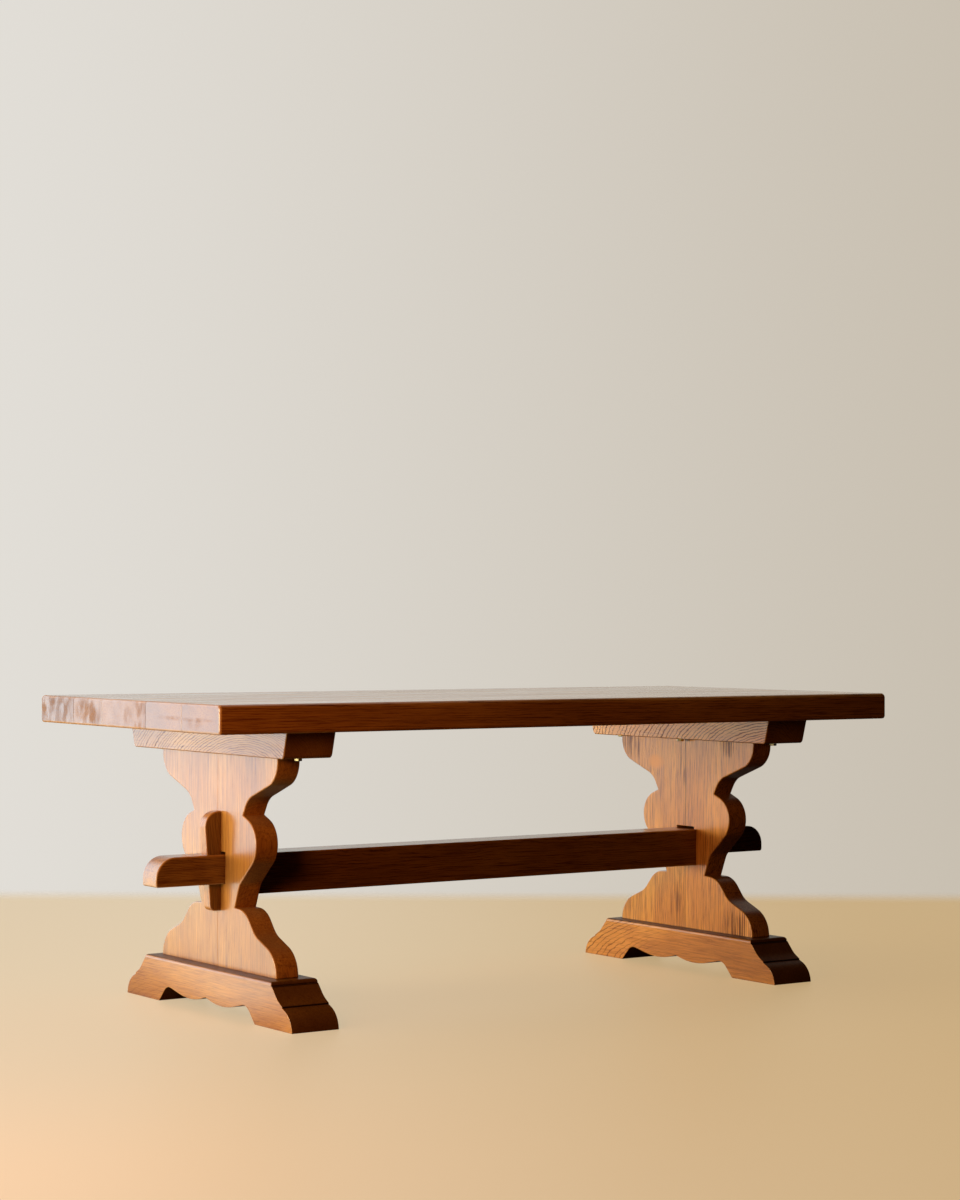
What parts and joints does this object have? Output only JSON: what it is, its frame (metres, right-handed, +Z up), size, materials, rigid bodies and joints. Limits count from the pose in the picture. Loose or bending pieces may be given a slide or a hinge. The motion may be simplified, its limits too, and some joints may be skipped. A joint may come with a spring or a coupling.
{
  "type": "trestle dining table",
  "caption": "Trestle dining table in stained oak: thick plank top on scrolled legs with moulded feet, tied by a stretcher with wedged through tenons.",
  "frame": {"origin": "on the floor under the middle of the table top", "axes": "+X along the table to the right-hand trestle, +Y across it to the back, +Z up"},
  "size_m": [1.976, 0.894, 0.74],
  "materials": {
    "oak_top": "satin lacquer over brown stain",
    "oak_frame": "satin lacquer over brown stain",
    "oak_wedge": "satin lacquer over brown stain",
    "yellow_zinc": "yellow zinc plate"
  },
  "bodies": {
    "table": {"top_plank_1": "oak_top", "top_plank_2": "oak_top", "top_plank_3": "oak_top", "top_plank_4": "oak_top", "top_plank_5": "oak_top", "stretcher": "oak_frame", "left_cap": "oak_frame", "left_foot": "oak_frame", "left_leg_back_board": "oak_frame", "left_leg_front_board": "oak_frame", "right_cap": "oak_frame", "right_foot": "oak_frame", "right_leg_back_board": "oak_frame", "right_leg_front_board": "oak_frame", "left_cap_screws": "yellow_zinc", "right_cap_screws": "yellow_zinc"},
    "left_wedge": {"left_wedge": "oak_wedge"},
    "right_wedge": {"right_wedge": "oak_wedge"}
  },
  "joints": [
    {"name": "left_wedge_lift", "type": "slide", "parent": "table", "child": "left_wedge", "axis": [0, 0, 1], "range_m": [0, 0.136]},
    {"name": "right_wedge_lift", "type": "slide", "parent": "table", "child": "right_wedge", "axis": [0, 0, 1], "range_m": [0, 0.136]}
  ]
}
